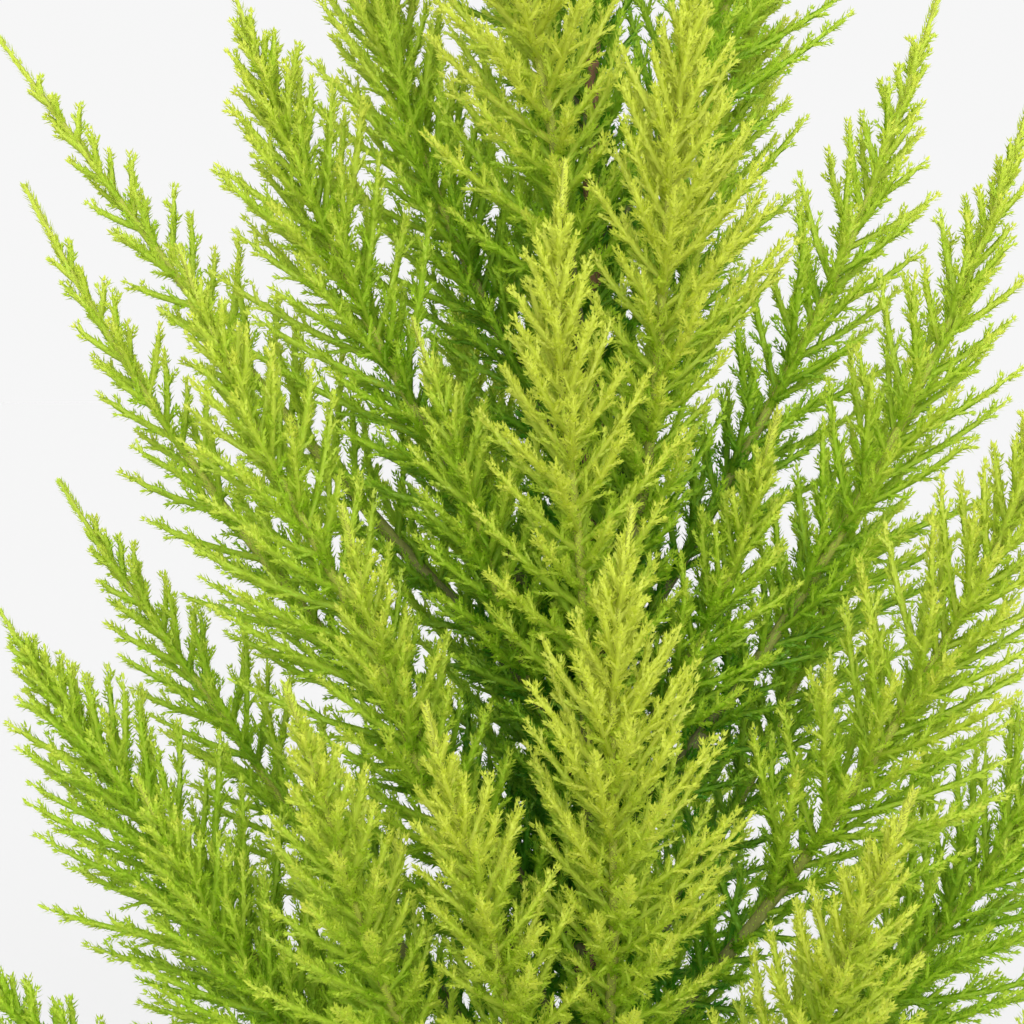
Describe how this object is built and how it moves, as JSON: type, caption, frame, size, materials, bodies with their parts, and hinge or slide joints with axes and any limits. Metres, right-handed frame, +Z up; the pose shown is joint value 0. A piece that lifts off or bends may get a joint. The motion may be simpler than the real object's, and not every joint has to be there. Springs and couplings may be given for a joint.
{
  "type": "young golden monterey cypress",
  "caption": "Whole young conifer rooted in the ground: tapering trunk, ascending boughs and feathery lime-green plumes in a conical crown.",
  "frame": {"origin": "middle of the flat cut under the trunk, at ground level", "axes": "+Z up along the trunk; -Y faces the viewer's side of the crown, +X to its right"},
  "size_m": [0.3017, 0.2927, 0.6999],
  "materials": {
    "trunk_bark": "rough reddish-brown bark",
    "bough_bark": "smooth tan bark going green",
    "foliage": "matt lime-green needle foliage"
  },
  "bodies": {
    "root": {"bough_low_1": "bough_bark", "bough_low_2": "bough_bark", "bough_low_3": "bough_bark", "bough_low_4": "bough_bark", "bough_low_5": "bough_bark", "bough_low_6": "bough_bark", "bough_low_7": "bough_bark", "bough_low_8": "bough_bark", "bough_low_9": "bough_bark", "bough_middle_1": "bough_bark", "bough_middle_2": "bough_bark", "bough_middle_3": "bough_bark", "bough_middle_4": "bough_bark", "bough_middle_5": "bough_bark", "bough_middle_6": "bough_bark", "bough_skirt_1": "bough_bark", "bough_skirt_2": "bough_bark", "bough_skirt_3": "bough_bark", "bough_skirt_4": "bough_bark", "bough_skirt_5": "bough_bark", "foliage_inner_1": "foliage", "foliage_inner_2": "foliage", "foliage_inner_3": "foliage", "foliage_inner_4": "foliage", "foliage_leader": "foliage", "foliage_low_1": "foliage", "foliage_low_2": "foliage", "foliage_low_3": "foliage", "foliage_low_4": "foliage", "foliage_low_5": "foliage", "foliage_low_6": "foliage", "foliage_low_7": "foliage", "foliage_low_8": "foliage", "foliage_low_9": "foliage", "foliage_middle_1": "foliage", "foliage_middle_2": "foliage", "foliage_middle_3": "foliage", "foliage_middle_4": "foliage", "foliage_middle_5": "foliage", "foliage_middle_6": "foliage", "foliage_skirt_1": "foliage", "foliage_skirt_2": "foliage", "foliage_skirt_3": "foliage", "foliage_skirt_4": "foliage", "foliage_skirt_5": "foliage", "foliage_top_1": "foliage", "foliage_top_2": "foliage", "foliage_top_3": "foliage", "foliage_top_4": "foliage", "foliage_top_5": "foliage", "foliage_top_6": "foliage", "foliage_top_7": "foliage", "foliage_upper_1": "foliage", "foliage_upper_2": "foliage", "foliage_upper_3": "foliage", "foliage_upper_4": "foliage", "foliage_upper_5": "foliage", "foliage_upper_6": "foliage", "foliage_upper_7": "foliage", "trunk": "trunk_bark"}
  },
  "joints": []
}
